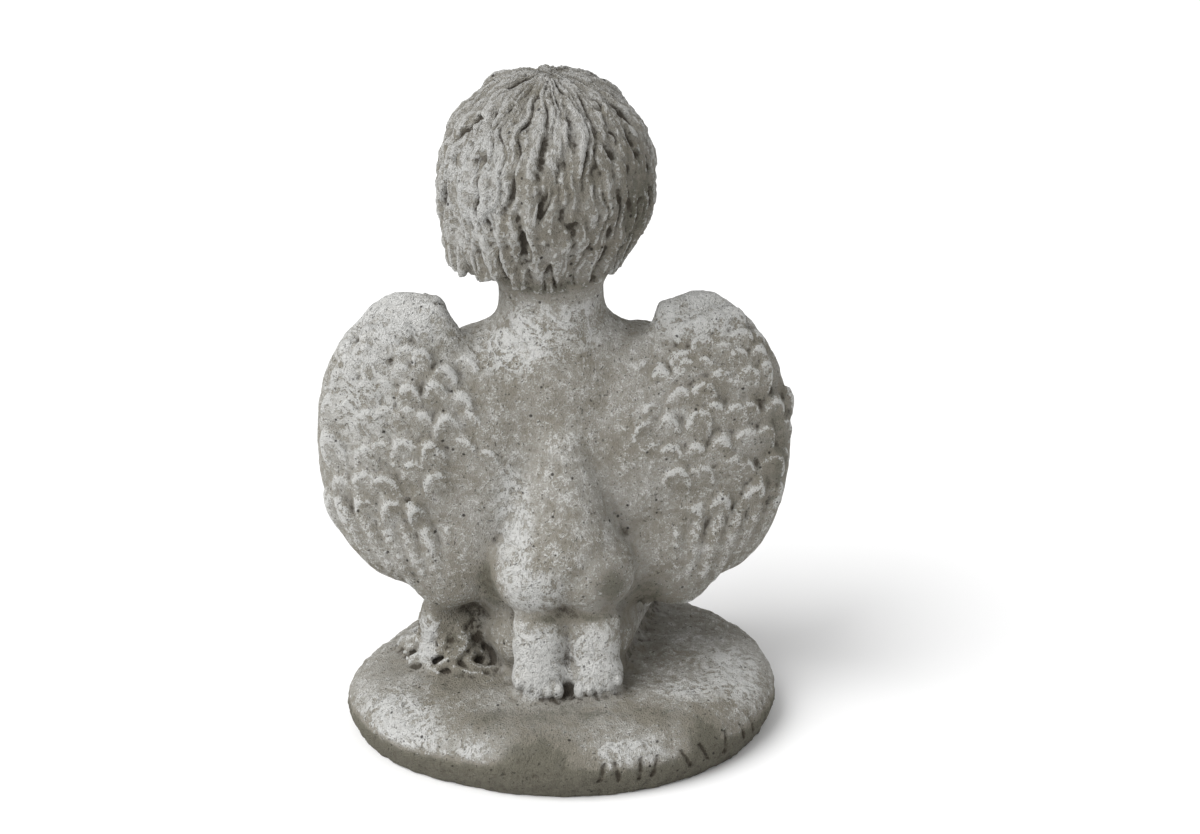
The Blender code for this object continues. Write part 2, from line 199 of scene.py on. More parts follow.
def placed(at, x=0.0, y=0.0, z=0.0):
    """Moved to a place, after turns in degrees about X, then Y, then Z."""
    matrix = Matrix.Translation(at)
    for angle, axis in ((z, "Z"), (y, "Y"), (x, "X")):
        matrix = matrix @ Matrix.Rotation(math.radians(angle), 4, axis)
    return matrix


GROUND = Matrix.Scale(STEP, 4)
FIGURE = GROUND @ Matrix.Translation((0, 0, BASE_HEIGHT))
HEAD = FIGURE @ placed((2.9, -9, 136), x=10, y=2.5)


def side_frame(side):
    """The figure's frame, mirrored for its right half."""
    return FIGURE @ Matrix.Diagonal((side, 1, 1, 1))


def wing_frame(side):
    """The middle of a wing: x runs outwards, y out of its feathered face, z to its top."""
    place, roll = ((43.2, 1, 64.5), 0) if side > 0 else ((41.3, 1, 63.5), -4.5)
    return side_frame(side) @ placed(place, y=roll, z=-12)


def ball(clay, frame, centre, radii, x=0.0, y=0.0, z=0.0, detail=4):
    """An egg-shaped lump, turned in degrees."""
    matrix = frame @ placed(centre, x, y, z) @ Matrix.Diagonal((*radii, 1))
    bmesh.ops.create_icosphere(clay, subdivisions=detail, radius=1, matrix=matrix)


def limb(clay, frame, start, end, start_radius, end_radius, detail=3):
    """A tapering round bar with round ends."""
    start, end = Vector(start), Vector(end)
    along = end - start
    aim = along.to_track_quat("Z", "Y").to_matrix().to_4x4()
    bmesh.ops.create_cone(
        clay, cap_ends=True, cap_tris=True, segments=24,
        radius1=start_radius, radius2=end_radius, depth=along.length,
        matrix=frame @ Matrix.Translation((start + end) / 2) @ aim,
    )
    ball(clay, frame, start, (start_radius,) * 3, detail=detail)
    ball(clay, frame, end, (end_radius,) * 3, detail=detail)


def cords(clay, frame, routes):
    """Round rolls of clay: each route is a list of (point, radius)."""
    curve = bpy.data.curves.new("rolls", "CURVE")
    curve.dimensions = "3D"
    curve.bevel_depth = 1
    curve.bevel_resolution = 2
    curve.use_fill_caps = True
    for route in routes:
        roll = curve.splines.new("POLY")
        roll.points.add(len(route) - 1)
        for point, (place, radius) in zip(roll.points, route):
            point.co = (*place, 1)
            point.radius = radius
    rolls = bpy.data.objects.new("rolls", curve)
    bpy.context.scene.collection.objects.link(rolls)
    graph = bpy.context.evaluated_depsgraph_get()
    mesh = bpy.data.meshes.new_from_object(rolls.evaluated_get(graph))
    mesh.transform(frame)
    clay.from_mesh(mesh)
    bpy.data.objects.remove(rolls)
    bpy.data.curves.remove(curve)
    bpy.data.meshes.remove(mesh)


def modified(clay, modifiers):
    """The clay after these modifiers: each is a type and its settings."""
    mesh = bpy.data.meshes.new("clay")
    clay.to_mesh(mesh)
    clay.free()
    lump = bpy.data.objects.new("clay", mesh)
    bpy.context.scene.collection.objects.link(lump)
    for kind, settings in modifiers:
        modifier = lump.modifiers.new(kind.lower(), kind)
        for name, value in settings.items():
            setattr(modifier, name, value)
    graph = bpy.context.evaluated_depsgraph_get()
    made = bmesh.new()
    made.from_mesh(lump.evaluated_get(graph).data)
    bpy.data.objects.remove(lump)
    bpy.data.meshes.remove(mesh)
    return made


def melt(clay, voxel, rounds):
    """All the closed shapes in the clay as one skin. The voxel is in steps."""
    return modified(clay, [
        ("REMESH", {"mode": "VOXEL", "voxel_size": voxel * STEP}),
        ("SMOOTH", {"iterations": rounds}),
    ])


def base(clay):
    """A pebble with a domed top and a rounded rim, a little narrower underneath, and worn in places."""
    profile = (
        (0.0, 1.0), (0.60, 1.0), (0.80, 0.95), (0.92, 0.84), (0.985, 0.62),
        (1.0, 0.38), (0.985, 0.15), (0.95, 0.0), (0.94, -CUT_DEPTH / BASE_HEIGHT), (0.0, -CUT_DEPTH / BASE_HEIGHT),
    )
    stone = bmesh.new()
    points = [stone.verts.new((out * BASE_WIDTH / 2, 0, up * BASE_HEIGHT)) for out, up in profile]
    edges = [stone.edges.new(pair) for pair in zip(points, points[1:])]
    bmesh.ops.spin(
        stone, geom=points + edges, cent=(0, 0, 0), axis=(0, 0, 1), angle=math.tau, steps=96, use_merge=True,
    )
    bmesh.ops.remove_doubles(stone, verts=stone.verts[:], dist=1e-4)
    for corner in stone.verts:
        heading = math.degrees(math.atan2(corner.co.y, corner.co.x))
        worn = sum(depth * math.exp(-((heading - at) / spread) ** 2) for at, spread, depth in WORN_RIM)
        corner.co.xy *= 1 - worn
    bmesh.ops.scale(stone, vec=(1, BASE_DEPTH / BASE_WIDTH, 1), verts=stone.verts[:])
    bmesh.ops.transform(stone, matrix=GROUND, verts=stone.verts[:])
    bmesh.ops.recalc_face_normals(stone, faces=stone.faces[:])
    mesh = bpy.data.meshes.new("stone")
    stone.to_mesh(mesh)
    stone.free()
    clay.from_mesh(mesh)
    bpy.data.meshes.remove(mesh)


def block(clay, frame, centre, half, x=0.0, y=0.0, z=0.0):
    """A square block, which melting rounds off."""
    matrix = frame @ placed(centre, x, y, z) @ Matrix.Diagonal((*half, 1))
    bmesh.ops.create_cube(clay, size=2, matrix=matrix)


def torso(clay):
    """Chest, belly, back and lap, with the neck and the shoulders."""
    ball(clay, FIGURE, (1, -3, 81), (22, 14.5, 25))
    ball(clay, FIGURE, (0, -6, 56), (21, 17, 24))
    ball(clay, FIGURE, (0, -2, 41), (20, 14.5, 19))
    ball(clay, FIGURE, (0, 2, 55), (19, 11.5, 37))
    ball(clay, FIGURE, (0, -16, 48), (17, 12, 15))
    ball(clay, FIGURE, (0, -15, 20), (12.5, 12, 16))
    limb(clay, FIGURE, (1.5, -4, 92), (2.5, -6, 116), 15, 13.8)
    for side in SIDES:
        frame = side_frame(side)
        shoulder = 88 if side > 0 else 84.5
        limb(clay, frame, (3, -3, 96), (23, -4, shoulder), 9, 8)


def head(clay):
    """The skull, the lower face, the nape, and the fuller hair at each side."""
    ball(clay, HEAD, (0, 0, 0), SKULL)
    ball(clay, HEAD, (0, -8.5, -8.5), (21.5, 19.5, 20))
    ball(clay, HEAD, (0, 4, -15), (19, 17, 18))
    ball(clay, HEAD, (19.5, 3, -14), (6, 13, 11), y=-4)
    ball(clay, HEAD, (-18, 3, -12), (6.5, 13, 9), y=4)


def arms(clay, side):
    """An arm bent to the praying hands."""
    frame = side_frame(side)
    elbow = (28, -23, 59)
    limb(clay, frame, (22, -6, 87), elbow, 9.5, 8)
    limb(clay, frame, elbow, (6.5, -38, 77), 8, 5.2)
    ball(clay, frame, (20, -8, 68), (10, 10, 22))


def legs(clay, side):
    """A kneeling leg: the thigh forward to the knee, and the shin back under it."""
    frame = side_frame(side)
    knee = (25, -36, 11)
    limb(clay, frame, (11, -2, 29), knee, 17, 12.5)
    limb(clay, frame, knee, (11, 10, 9), 10, 8)
    ball(clay, frame, (4, 10, 11), (9, 12, 12))
    ball(clay, frame, (10, -22, 8), (13, 14, 10))


def wing(clay, side):
    """A folded wing, with its square top corner, its low tip and its root on the back."""
    frame = wing_frame(side)
    ball(clay, frame, (0, -2.5, -0.5), (24.8, 5.5, 41.5))
    ball(clay, frame, (-2, -2.5, 8), (21, 5.5, 36.5))
    ball(clay, frame, (-0.5, 1, -2), (22.8, 7.3, 38.8))
    block(clay, frame, (-6.5, -1.5, 34 if side > 0 else 33), (7.5, 3.4, 8), y=14)
    ball(clay, frame, (-14, 2, -30), (13.5, 5.5, 18), y=-16)
    ball(clay, side_frame(side), (19, 3.5, 61), (16, 8.5, 33))


def root_clump(clay):
    """A lump of earth and a stump by the left foot."""
    ball(clay, FIGURE, ROOT_CLUMP, (11, 11, 14))
    ball(clay, FIGURE, (35, 1, 10), (4.5, 4.5, 11))


def broad_forms():
    """The base and the figure's masses, then the seat and feet, with softer joins."""
    clay = bmesh.new()
    base(clay)
    torso(clay)
    head(clay)
    for side in SIDES:
        arms(clay, side)
        legs(clay, side)
        wing(clay, side)
    root_clump(clay)
    clay = melt(clay, CORE_VOXEL, CORE_ROUNDS)
    hips(clay)
    for side in SIDES:
        foot(clay, side)
    return melt(clay, LIMB_VOXEL, LIMB_ROUNDS)


def on_skull(direction, lift):
    """The place over the skull in this direction, that far outside its surface."""
    size = math.sqrt(sum((d / r) ** 2 for d, r in zip(direction, SKULL)))
    return direction / size + direction * lift


def hem(around):
    """Where a lock leaves the skull, in degrees from its top, and the share of a full drop below that."""
    front = max(0.0, -math.sin(math.radians(around)))
    side = math.cos(math.radians(around))
    leave = 124 - 52 * front ** 3 - (26 if side > 0 else 9) * side ** 2 * (1 - front)
    return leave, max(0.0, 1 - 2.2 * front ** 3)


def lock_route(around, start, radius, wave, phase, cut, sunk=0.55):
    """A wavy lock from the whorl to the hem, which is cut short by cut degrees. Start is a share of the
    way, and sunk a share of the radius."""
    down, drop = hem(around)
    turn = math.radians(around)
    polar = math.radians(down - cut)
    end = Vector((math.sin(polar) * math.cos(turn), math.sin(polar) * math.sin(turn), math.cos(polar)))
    whorl = Vector(WHORL).normalized()
    route = []
    for step in range(LOCK_POINTS + 1):
        t = start + (1 - start) * step / LOCK_POINTS
        out = whorl.slerp(end, min(t, 0.999))
        sideways = out.cross(end - whorl).normalized()
        spread = min(1, t / 0.25)
        sway = wave * spread * (math.sin(phase + 8 * t) + 0.6 * math.sin(2.3 * phase + 27 * t))
        out = (out + sideways * sway).normalized()
        thick = radius * min(1.0, 0.3 + 0.7 * t / 0.3) * (1 + 0.16 * math.sin(3 * phase + 19 * t))
        thick *= 1 - 0.8 * ramp(t, 0.78, 1.0) * (1 - ramp(drop, 0.05, 0.3))
        place = on_skull(out, 0.45 * math.sin(2 * phase + 15 * t) - thick * sunk)
        route.append((place, thick))
    if drop > 0.1:
        # Below the skull the hair narrows to the nape, and hangs nearly straight at the sides.
        last = route[-1][0]
        side = math.cos(turn)
        least = 14.8 + (11.6 if side > 0 else 2.6) * side ** 2
        heading = math.atan2(last.y, last.x)
        rise = (4 if side > 0 else 2) * side ** 2
        low = Vector((least * math.cos(heading), least * math.sin(heading), rise - 27.0))
        for step in range(1, 6):
            place = last.lerp(low, (drop - 0.02 * cut) * step / 5)
            route.append((place, radius * (1 - 0.022 * step ** 2)))
    return route


def hair(clay):
    """Locks side by side all round, thinner ones between them, and loose strands on top."""
    draw = random.Random(5)
    routes = []
    for i in range(LOCKS):
        around = 360 * i / LOCKS + draw.uniform(-3, 3)
        main = lock_route(around, 0.03, draw.uniform(2.2, 2.8), draw.uniform(0.02, 0.05),
                          draw.uniform(0, 6), draw.uniform(-4, 5), sunk=0.42)
        routes.append(main)
        routes.append(lining(main))
        between = around + 180 / LOCKS + draw.uniform(-2, 2)
        routes.append(lock_route(between, draw.uniform(0.12, 0.3), draw.uniform(2.0, 2.8),
                                 draw.uniform(0.02, 0.05), draw.uniform(0, 6), draw.uniform(-3, 10)))
    for _ in range(STRANDS):
        start = draw.uniform(0.1, 0.6)
        strand = lock_route(draw.uniform(0, 360), start, draw.uniform(1.0, 1.5), draw.uniform(0.03, 0.06),
                            draw.uniform(0, 6), draw.uniform(-6, 4), sunk=-0.2)
        routes.append(strand[:draw.randint(14, 26)])
    cords(clay, HEAD, routes)


def lining(lock):
    """A fatter roll behind a lock, which fills the hair below the skull."""
    return [(Vector((place.x * 0.84, place.y * 0.84, place.z + 0.8)), 4.4) for place, _ in lock[LINING_FROM:]]


def on_wing(x, z):
    """Height of the feathered face at a place on the wing."""
    width, thick, tall = WING_FACE
    inside = max(0.02, 1 - (max(x, -16) / width) ** 2 - (z / tall) ** 2)
    return WING_LIFT + thick * math.sqrt(inside)


def feather(clay, frame, x, z, width, length, lift, lean):
    """A tile-like feather on the wing's face. Its tip, at (x, z), is raised, and it leans inwards by lean
    degrees."""
    fall = math.degrees(math.atan((on_wing(x, z) - on_wing(x, z + length)) / length))
    tilt = math.degrees(math.atan(on_wing(x + 0.5, z) - on_wing(x - 0.5, z)))
    fall, tilt = (max(-22, min(22, angle)) for angle in (fall, tilt))
    here = frame @ placed((x, on_wing(x, z) + lift, z), x=fall) @ placed((0, 0, 0), z=tilt, y=lean)
    tile = placed((0, -1.0, length * 0.46), x=-90 - 11) @ Matrix.Diagonal((width * 0.66, length * 0.5, 1, 1))
    bmesh.ops.create_cone(
        clay, cap_ends=True, cap_tris=True, segments=14, radius1=1.08, radius2=0.84, depth=2.3, matrix=here @ tile,
    )


def coverts(clay, frame, draw):
    """Rows of short feathers, each row over the one below, dying away towards the back."""
    width_of_face, _, height_of_face = WING_FACE
    for row, tip in enumerate(COVERT_TIPS):
        outer = width_of_face * math.sqrt(max(0.06, 1 - ((tip + 4) / height_of_face) ** 2)) - 2
        inner = -outer - (4 if abs(tip) < 22 else 0) + (4 if tip < -22 else 0)
        width = 5.0 + 0.25 * row
        length = (COVERT_TIPS[row - 1] - tip if row else 4.5) * 1.5
        count = max(2, round((outer - inner) / width))
        shift = draw.uniform(0, 1)
        for i in range(count):
            x = inner + (i + shift) * (outer - inner) / count + draw.uniform(-1.0, 1.0)
            z = tip - 3 * (x / width_of_face) ** 2 + draw.uniform(-2.0, 2.0)
            off_centre = (max(x, -16) / width_of_face) ** 2 + (z / height_of_face) ** 2
            if x > outer or off_centre > (0.84 if z < 15 else 0.76):
                continue
            lean = 5 + 14 * max(0, -z / 30) + draw.uniform(-10, 10)
            sunk = 2.4 * max(0, -x / width_of_face - 0.6) + 4.0 * max(0, off_centre - 0.55)
            sunk += 10 * max(0, x / width_of_face - 0.83)
            lift = draw.uniform(-0.3, 0.4) - sunk
            wide, long = draw.uniform(0.85, 1.3), draw.uniform(0.9, 1.15)
            wide = min(wide, (outer + 2.6 - x) / (0.66 * width))
            feather(clay, frame, x, z, width * wide, length * long, lift, lean)


def primaries(clay, frame, draw):
    """Long feathers that sweep from the outer edge down and inwards to the tip of the wing."""
    for i in range(PRIMARIES):
        share = i / (PRIMARIES - 1)
        start = Vector((-19 + 36 * share, 0, -21 + 6 * share))
        end = Vector((-21 + 25 * share, 0, -45 + 9 * share ** 1.3))
        along = end - start
        lean = math.degrees(math.atan2(-along.x, -along.z)) + draw.uniform(-3, 3)
        middle = (start + end) / 2
        rise = on_wing(middle.x * 0.8, middle.z * 0.8) - 1.5 - 1.4 * share ** 2 + draw.uniform(-0.3, 0.3)
        here = frame @ placed((middle.x, rise, middle.z), y=lean)
        ball(clay, here, (0, 0, 0), (3.2, 3.0, along.length * 0.57), x=-8, detail=3)


def front_feathers(clay, frame):
    """Long plain feathers down the front of the wing."""
    for i in range(FRONT_FEATHERS):
        x = -17 + 34 * i / (FRONT_FEATHERS - 1)
        bulge = math.sqrt(1 - (x / 24.3) ** 2)
        ball(clay, frame, (x, -1.6 - 5.5 * bulge, -1), (3.1, 1.7, 37 * bulge), y=-3, detail=3)


def feathers(clay, side):
    """All the feathers of one wing."""
    draw = random.Random(11 + side)
    coverts(clay, wing_frame(side), draw)
    primaries(clay, wing_frame(side), draw)
    front_feathers(clay, wing_frame(side))


def face(clay):
    """A calm child's face on plain proportions, the eyes closed."""
    for side in SIDES:
        half = HEAD @ Matrix.Diagonal((side, 1, 1, 1))
        ball(clay, half, (8.5, -19.5, -13), (8.5, 7.6, 8))
        ball(clay, half, (8.5, -24.8, -4.6), (4.8, 4.0, 3.1))
        limb(clay, half, (4.8, -28.0, -6.3), (8.6, -28.6, -7.0), 0.55, 0.6)
        limb(clay, half, (8.6, -28.6, -7.0), (12.4, -26.9, -6.1), 0.6, 0.5)
        limb(clay, half, (3.8, -27.6, 0.4), (8.0, -27.2, 1.8), 0.9, 1.15)
        limb(clay, half, (8.0, -27.2, 1.8), (12.8, -24.8, 0.4), 1.15, 0.7)
        ball(clay, half, (1.9, -29.4, -10.6), (1.6, 1.9, 1.4))
        ball(clay, half, (1.7, -27.9, -15.9), (2.8, 1.7, 1.1), y=12)
    limb(clay, HEAD, (0, -27.4, -3), (0, -30.6, -9.8), 1.5, 2.0)
    ball(clay, HEAD, (0, -27.3, -18.1), (3.0, 1.8, 1.3))
    ball(clay, HEAD, (0, -20.4, -21.8), (7.6, 6.2, 5.6))


def hand(clay, side):
    """One of the two hands, pressed together and pointing up."""
    frame = side_frame(side) @ placed((2.7, -37.5, 77), x=8) @ Matrix.Scale(1.12, 4)
    ball(clay, frame, (0.2, 0, 5), (2.9, 5.4, 7))
    for across, length in ((-3.6, 15.5), (-1.2, 18.5), (1.2, 19), (3.6, 17.2)):
        limb(clay, frame, (0, across, 8), (0, across * 0.8, length), 1.55, 1.15)
    limb(clay, frame, (0.4, 4, 3), (0, 5.8, 11), 1.9, 1.4)


def hips(clay):
    """The seat, pear-shaped from the waist, with its cleft, over the heels."""
    limb(clay, FIGURE, (0.5, 6.5, 66), (0.3, 9.8, 38), 8.5, 16, detail=4)
    for side in SIDES:
        ball(clay, FIGURE, (0.3 + 6.9 * side, 12.8, 32), (13, 13, 12.5))


def sole_frame(side):
    """A sole stood on its tucked toes: y runs out of it, z up to the heel."""
    return FIGURE @ placed((-0.4 + 7.7 * side, 22.5, 10.5), x=12, y=-2 * side)


def foot(clay, side):
    """A bare foot, seen from its sole, joined to the other one by a web."""
    frame = sole_frame(side)
    ball(clay, frame, (0, -1, 3), (7.3, 5.4, 11))
    ball(clay, frame, (0, -0.2, -5.5), (7.7, 5.2, 7.5))
    ball(clay, frame, (0, -1.5, 8), (7.3, 5.6, 7))
    block(clay, FIGURE, (-0.4, 17, 11), (3, 5, 11))
    block(clay, FIGURE, (-0.4, 20, 2), (4, 5, 4))


def toes(clay, side):
    """Five toes, the big one inside."""
    for i, (width, height) in enumerate(((1.9, 2.5), (1.5, 2.2), (1.4, 2.1), (1.35, 2.0), (1.3, 1.9))):
        across = side * (-5.0 + 2.65 * i)
        place = (across, 3.7 - 0.08 * i * i, -8.8 + 0.12 * i * i)
        ball(clay, sole_frame(side), place, (width * 0.9, 1.9, height), detail=3)


def roots(clay):
    """Roots that wind down the lump of earth and out over the base."""
    draw = random.Random(3)
    routes = []
    for i in range(ROOTS):
        heading = math.radians(-20 + 160 * i / (ROOTS - 1) + draw.uniform(-10, 10))
        reach = draw.uniform(9, 15)
        top = draw.uniform(6, 18)
        route = []
        for t in (step / 8 for step in range(9)):
            out = 5 + reach * t
            bend = heading + 0.35 * math.sin(6 * t + 2 * i)
            up = top * (1 - t) ** 1.7 + 0.2 + 0.8 * math.sin(9 * t + i) * (1 - t)
            place = (ROOT_CLUMP[0] + 0.85 * out * math.cos(bend), ROOT_CLUMP[1] + out * math.sin(bend), up)
            route.append((place, 3.2 * (1 - 0.72 * t)))
        routes.append(route)
    cords(clay, FIGURE, routes)


def cast():
    """The whole casting: the broad forms with all that is laid on them."""
    clay = broad_forms()
    hair(clay)
    face(clay)
    roots(clay)
    for side in SIDES:
        feathers(clay, side)
        hand(clay, side)
        toes(clay, side)
    return melt(clay, SKIN_VOXEL, SKIN_ROUNDS)


def cut_flat(skin):
    """Cuts the skin at the ground and closes it with a flat underside."""
    sliced = bmesh.ops.bisect_plane(
        skin, geom=skin.verts[:] + skin.edges[:] + skin.faces[:], plane_co=(0, 0, 0), plane_no=(0, 0, 1),
        clear_inner=True, dist=1e-6,
    )
    ring = [e for e in sliced["geom_cut"] if isinstance(e, bmesh.types.BMEdge)]
    bmesh.ops.contextual_create(skin, geom=ring)
    bmesh.ops.triangulate(skin, faces=[f for f in skin.faces if len(f.verts) > 3])


def centred(skin):
    """Moves the casting so that it stands in the middle of the CAD solid's box."""
    spans = [[corner.co[axis] for corner in skin.verts] for axis in (0, 1)]
    middle = [(max(span) + min(span)) / 2 for span in spans]
    home = (LOW + HIGH) / 2
    bmesh.ops.translate(skin, vec=(home.x - middle[0], home.y - middle[1], 0), verts=skin.verts[:])


def neighbour_mean(values, ends, counts, rounds):
    """Values at the mesh's points, each averaged with its neighbours this many times."""
    for _ in range(rounds):
        total = values.copy()
        for axis in range(values.shape[1]):
            total[:, axis] += np.bincount(ends[:, 0], values[ends[:, 1], axis], len(values))
            total[:, axis] += np.bincount(ends[:, 1], values[ends[:, 0], axis], len(values))
        values = total / counts[:, None]
    return values


def relief(skin, rounds):
    """How far each point stands above the smoothed skin around it, in steps."""
    places = np.array([corner.co[:] for corner in skin.verts])
    normals = np.array([corner.normal[:] for corner in skin.verts])
    ends = np.array([[corner.index for corner in edge.verts] for edge in skin.edges])
    counts = 1.0 + np.bincount(ends.ravel(), minlength=len(places))
    smooth = neighbour_mean(places, ends, counts, rounds)
    return ((places - smooth) * normals).sum(axis=1) / STEP


def ramp(value, low, high):
    """0 below low, 1 above high, and smooth between."""
    t = max(0.0, min(1.0, (value - low) / (high - low)))
    return t * t * (3 - 2 * t)


def hair_at(local):
    """1 where a place on the head lies in the hair, 0 on the skin, and between at the hem."""
    reach = math.sqrt(sum((c / r) ** 2 for c, r in zip(local, SKULL)))
    if local.z < -33 or reach > 1.6:
        return 0.0
    polar = math.degrees(math.acos(max(-1.0, min(1.0, local.z / max(local.length, 1e-6)))))
    around = math.degrees(math.atan2(local.y, local.x))
    down, drop = hem(around)
    if drop < 0.4:
        return ramp(down - polar, 0, 4)
    if polar < down:
        return 1.0
    return ramp(math.hypot(local.x, local.y), 15.5, 17) * ramp(local.z, -33, -31)


def strand_at(local):
    """Coordinates that run with the hair: round a drum of the skull's width, and along the locks."""
    whorl = Vector(WHORL).normalized()
    across = whorl.orthogonal().normalized()
    ahead = whorl.cross(across)
    out = local.normalized()
    turn = math.atan2(out.dot(ahead), out.dot(across))
    along = math.acos(max(-1.0, min(1.0, out.dot(whorl)))) * SKULL[0]
    return Vector((SKULL[0] * math.cos(turn), SKULL[0] * math.sin(turn), along))


def groove_depth(place):
    """Depth, in steps, of the marks pressed in the rim of the base: slanting strokes, no letters."""
    x, y, z = place / STEP
    low, high = STROKE_BAND
    if z > high or z < low or y < 0:
        return 0.0
    up = z - STROKE_HEIGHT
    heading = math.degrees(math.atan2(y * BASE_WIDTH / BASE_DEPTH, x))
    depth = 0.0
    for at, lean, length in RIM_STROKES:
        across = math.radians(heading - at) * BASE_WIDTH / 2 - lean * up
        if abs(up) < length / 2:
            depth = max(depth, STROKE_DEPTH * (1 - ramp(abs(across), *STROKE_EDGES)))
    return depth


def comb_depth(run):
    """Wiggling grooves, finer streaks and lumps along the hair, at a place in the hair's own coordinates."""
    wiggle = 0.5 * noise.noise(Vector((run.x / 9, run.y / 9, run.z / 7)))
    across = Vector((run.x / 4.4 + wiggle, run.y / 4.4 - wiggle, run.z / 22))
    groove = 1 - ramp(abs(noise.noise(across)), 0.0, 0.24)
    streak = noise.noise(Vector((across.x * 4, across.y * 4, run.z / 6)))
    lump = noise.fractal(run / 1.9, 0.7, 2.1, 3)
    return 0.45 * streak + 0.32 * lump - 0.8 * groove


def roughen(skin):
    """Lumps and grain all over, strands along the hair, rough earth at the roots, and the strokes in the rim."""
    skin.normal_update()
    head_inverse = HEAD.inverted()
    strand = skin.verts.layers.float_vector.new("strand")
    hair = skin.verts.layers.float.new("hair")
    clump = Vector(ROOT_CLUMP) + Vector((0, 0, BASE_HEIGHT))
    for corner in skin.verts:
        place = corner.co / STEP
        local = head_inverse @ corner.co
        in_hair = hair_at(local)
        corner[hair] = in_hair
        shift = 0.22 * noise.fractal(place / 6.5, 0.9, 2.1, 2)
        shift += 0.12 * noise.fractal(place / 1.7, 0.8, 2.1, 2)
        if place.z < BASE_HEIGHT + 1:
            shift += 0.35 * noise.fractal(place / 4.0, 0.7, 2.1, 4)
        earthy = 1 - ramp((place - clump).length, 7, 17)
        if earthy > 0:
            shift += 0.9 * earthy * noise.fractal(place / 2.4, 0.7, 2.1, 3)
        if in_hair > 0:
            run = strand_at(local)
            corner[strand] = run
            shift += in_hair * comb_depth(run)
        if place.z < BASE_HEIGHT and place.z > 0:
            shift -= groove_depth(corner.co)
        corner.co += corner.normal * shift * STEP


def weather(skin):
    """Notes, for each point, how deep it lies in a groove and how far it stands out on a ridge."""
    skin.normal_update()
    skin.verts.index_update()
    fine = relief(skin, round(1.5 / SKIN_VOXEL ** 2))
    coarse = relief(skin, round(10 / SKIN_VOXEL ** 2))
    groove = skin.verts.layers.float.new("groove")
    ridge = skin.verts.layers.float.new("ridge")
    for corner, near, far in zip(skin.verts, fine, coarse):
        # The base is flatter, so its slight swells count less as ridges.
        share = 0.3 + 0.7 * ramp(corner.co.z / STEP, BASE_HEIGHT - 1, BASE_HEIGHT + 1)
        corner[groove] = 0.6 * ramp(-near, 0.0, 0.3) + 0.4 * ramp(-far, 0.0, 0.9)
        corner[ridge] = share * (0.7 * ramp(near, 0.0, 0.25) + 0.3 * ramp(far, 0.0, 0.9))


def mark_stain_and_light(skin):
    """Notes for each point from -1, where salts have bleached the casting or a highlight is painted, to 1, where
    soil has stained it or shade is painted.
    """
    places = np.array([corner.co[:] for corner in skin.verts]) / STEP
    # The darker low edge of the base: partly a brown stain, partly painted shade.
    total = LOW_EDGE_DARK_STRENGTH * np.clip((LOW_EDGE_DARK_TOP - places[:, 2]) / LOW_EDGE_DARK_FADE, 0, 1)
    for centre, reach, strength in STAIN_AND_LIGHT_MARKS:
        total += strength * np.exp(-2 * (((places - centre) / reach) ** 2).sum(axis=1))
    stain_and_light = skin.verts.layers.float.new("stain_and_light")
    for corner, amount in zip(skin.verts, np.clip(total, -1, 1)):
        corner[stain_and_light] = amount


def shelter(skin):
    """Notes, for each point, the share of the sky around it that the casting itself hides; the material paints
    these sheltered places darker, as painted shade.
    """
    skin.normal_update()
    tree = BVHTree.FromBMesh(skin)
    hidden = skin.verts.layers.float.new("shelter")
    reach = SHELTER_REACH * STEP
    golden = math.pi * (3 - math.sqrt(5))
    fan = []
    for i in range(SHELTER_RAYS):
        out = math.sqrt((i + 0.5) / SHELTER_RAYS)
        fan.append(Vector((out * math.cos(golden * i), out * math.sin(golden * i), math.sqrt(1 - out * out))))
    for corner in skin.verts:
        aim = corner.normal.to_track_quat("Z", "Y")
        start = corner.co + corner.normal * 0.3 * STEP
        hits = 0.0
        for ray in fan:
            *_, distance = tree.ray_cast(start, aim @ ray, reach)
            if distance is not None:
                hits += 1 - distance / reach
        corner[hidden] = hits / SHELTER_RAYS


class Value:
    """A socket of a material, on which sums are written as plain expressions."""

    def __init__(self, paint, socket):
        self.paint = paint
        self.socket = socket

    def sum(self, operation, *values):
        return self.paint.node("Math", {"operation": operation}, dict(enumerate(values)))

    def __add__(self, other):
        return self.sum("ADD", self, other)

    def __sub__(self, other):
        return self.sum("SUBTRACT", self, other)

    def __mul__(self, other):
        return self.sum("MULTIPLY", self, other)

    def __rsub__(self, other):
        return self.sum("SUBTRACT", other, self)

    def __abs__(self):
        return self.sum("ABSOLUTE", self)

    __radd__ = __add__
    __rmul__ = __mul__

    def above(self, low, high):
        """0 below low, 1 above high, and smooth between."""
        settings = {"interpolation_type": "SMOOTHSTEP"}
        return self.paint.node("MapRange", settings, {"Value": self, "From Min": low, "From Max": high})


